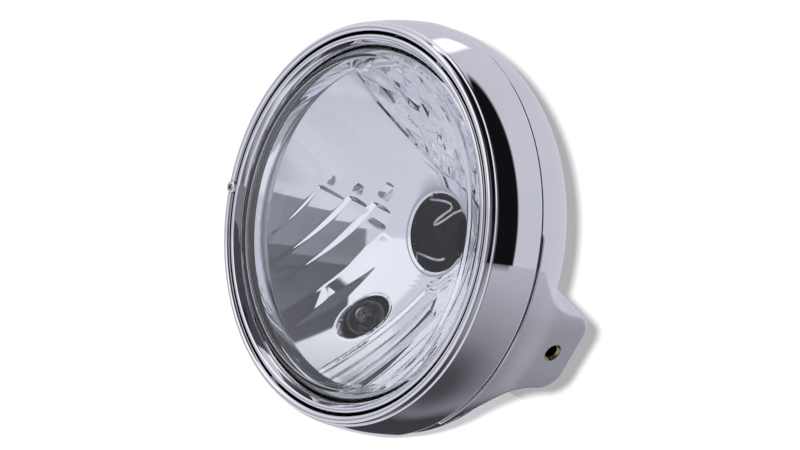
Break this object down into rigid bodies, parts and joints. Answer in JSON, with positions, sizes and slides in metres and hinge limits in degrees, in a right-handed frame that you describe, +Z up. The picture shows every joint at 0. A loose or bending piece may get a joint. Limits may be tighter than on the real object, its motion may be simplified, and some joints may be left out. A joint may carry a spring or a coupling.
{
  "type": "round motorcycle headlight",
  "caption": "Round chrome motorcycle headlight with a clear domed lens, a fluted reflector, a position light, two side mounting ears and an aiming screw.",
  "frame": {"origin": "on the lamp axis, in line with the two side mounting holes", "axes": "the lamp looks along -Y, +X is at the right of someone who looks at the lens, +Z is up"},
  "size_m": [0.1978, 0.0979, 0.1993],
  "materials": {
    "chrome_ring": "polished",
    "chrome_shell": "polished",
    "chrome_screw": "polished",
    "zinc_steel": "satin",
    "yellow_zinc": "satin",
    "spring_steel": "satin",
    "clear_glass": "clear",
    "bulb_glass": "clear",
    "metallised": "mirror",
    "black_rubber": "matt",
    "grey_rubber": "matt",
    "grey_plastic": "matt",
    "white_nylon": "matt"
  },
  "bodies": {
    "housing": {"trim_ring": "chrome_ring", "shell": "chrome_shell", "seam_seal": "black_rubber", "ear_nuts": "yellow_zinc", "ring_hook": "zinc_steel", "ring_screw": "chrome_screw", "ring_screw_nut": "zinc_steel", "cable_grommet": "black_rubber", "pivot_pins": "zinc_steel", "aim_spring": "spring_steel"},
    "optic": {"optic_ring": "chrome_ring", "lens": "clear_glass", "lens_gasket": "grey_rubber", "reflector": "metallised", "unit_clips": "spring_steel", "bulb_seat": "zinc_steel", "bulb_clip": "spring_steel", "clip_post": "zinc_steel", "dust_boot": "black_rubber", "position_socket": "grey_plastic", "position_bulb": "bulb_glass", "pivot_washers": "white_nylon", "aim_nut": "zinc_steel"},
    "aim_screw": {"aim_screw": "chrome_screw"}
  },
  "joints": [
    {"name": "optic_aim", "type": "hinge", "parent": "housing", "child": "optic", "pos_m": [0, -0.0535, 0], "axis": [0, 0, 1], "range_deg": [-2.4, 2.4], "deforming": ["aim_spring"]},
    {"name": "aim_turn", "type": "hinge", "parent": "housing", "child": "aim_screw", "pos_m": [-0.08474, -0.055, -0.03684], "axis": [0, 1, 0], "range_deg": [-1900, 1900]}
  ],
  "couplings": [
    {"joint": "aim_turn", "follows": "optic_aim", "ratio": 760.6}
  ]
}
